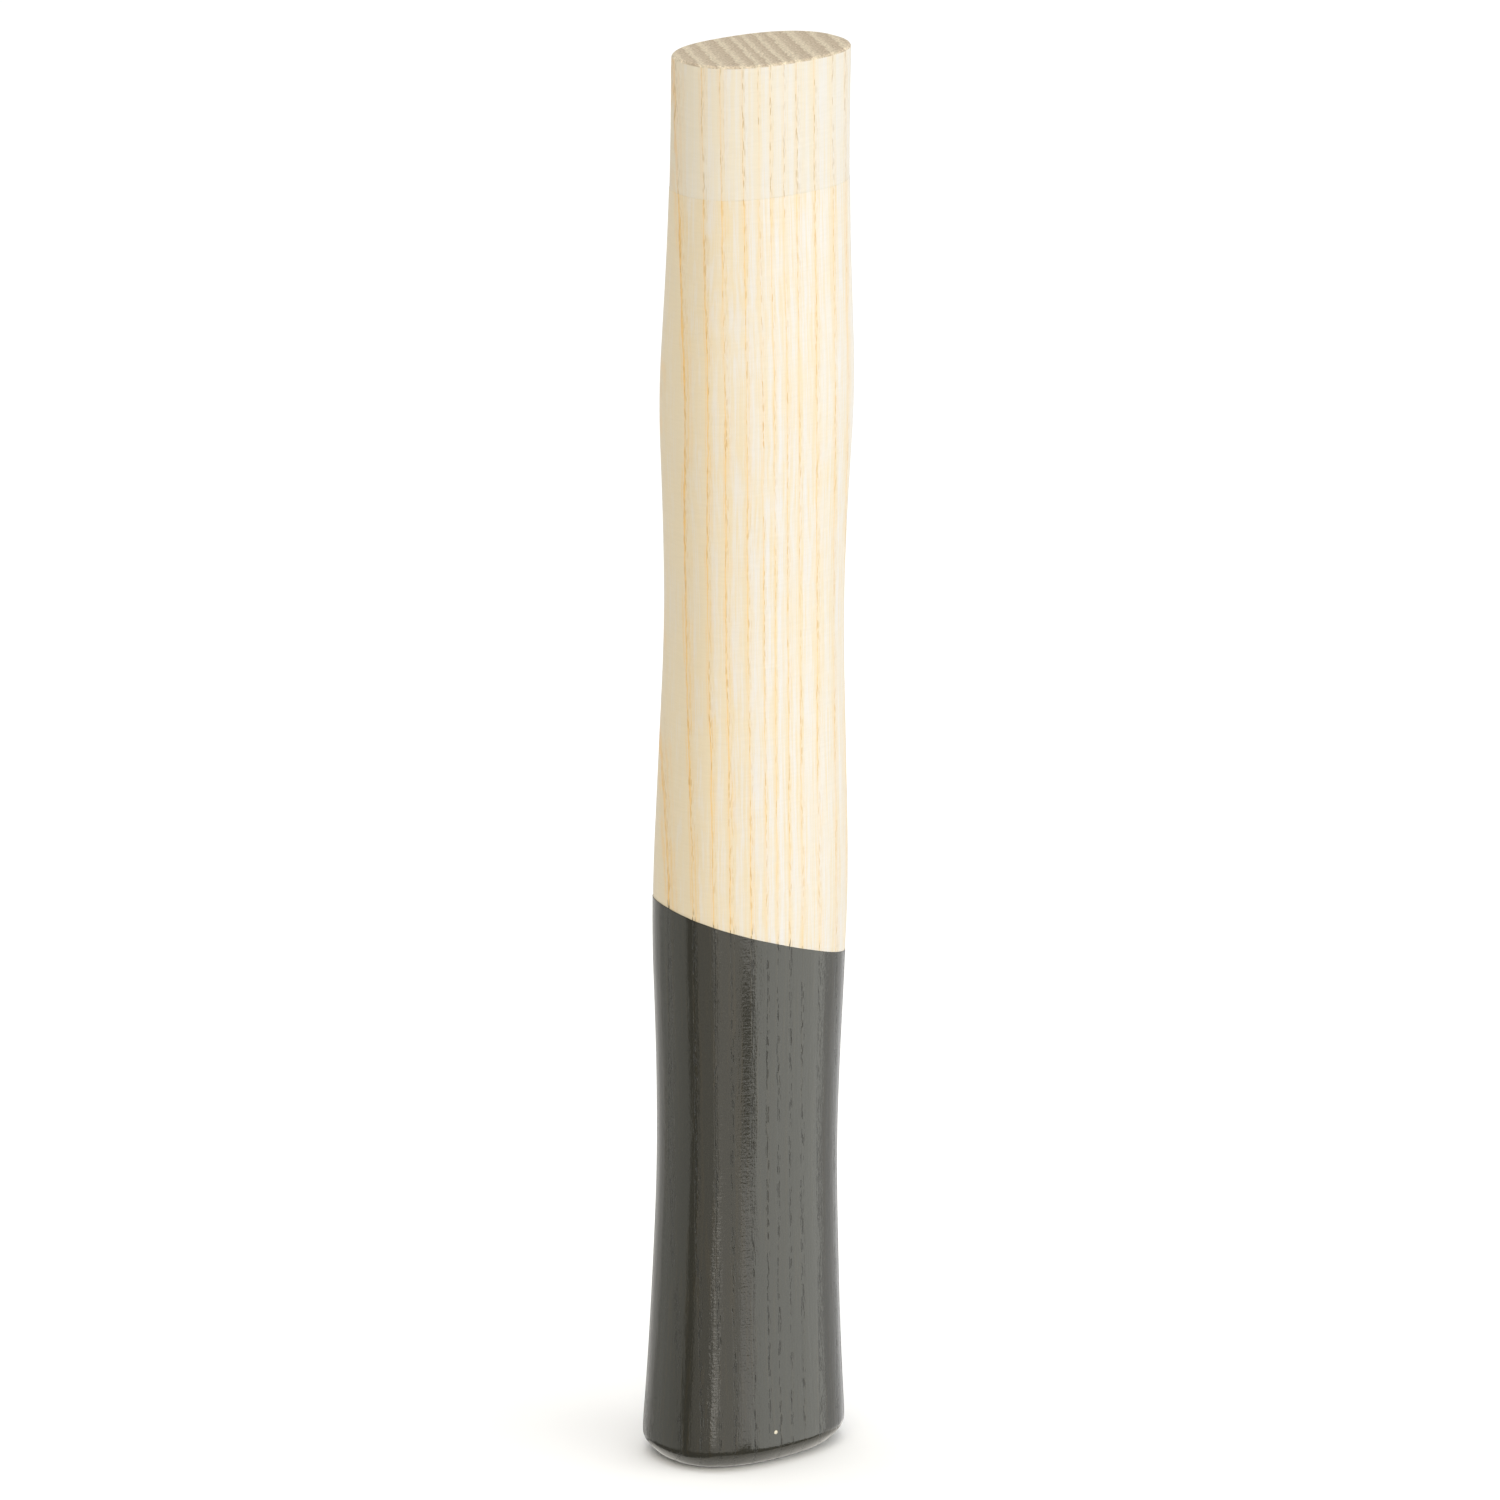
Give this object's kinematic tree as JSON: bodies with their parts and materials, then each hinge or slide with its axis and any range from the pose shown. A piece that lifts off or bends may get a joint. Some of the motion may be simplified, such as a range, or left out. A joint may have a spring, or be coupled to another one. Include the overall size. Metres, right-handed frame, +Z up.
{
  "type": "hammer handle",
  "caption": "Short oval hardwood handle for a heavy hand hammer: plain eye end for a head, shoulder, waisted shaft and flared grip with a lacquer dip coat.",
  "frame": {"origin": "centre of the butt's flat face, on the plane that the upright handle stands on", "axes": "+Z up the handle from the butt to the eye end, +X along the long way of the oval section, +Y along its short way"},
  "size_m": [0.0424, 0.0302, 0.28],
  "materials": {
    "ash": "bare turned and sanded ash, sawn end grain at the eye end",
    "clear_lacquer": "thin clear satin lacquer, slightly amber, with the ash grain showing through",
    "grip_lacquer": "gloss dark grey dip lacquer that follows the open grain"
  },
  "bodies": {
    "root": {"ash_shaft": "ash", "clear_lacquer": "clear_lacquer", "grip_lacquer": "grip_lacquer"}
  },
  "joints": []
}
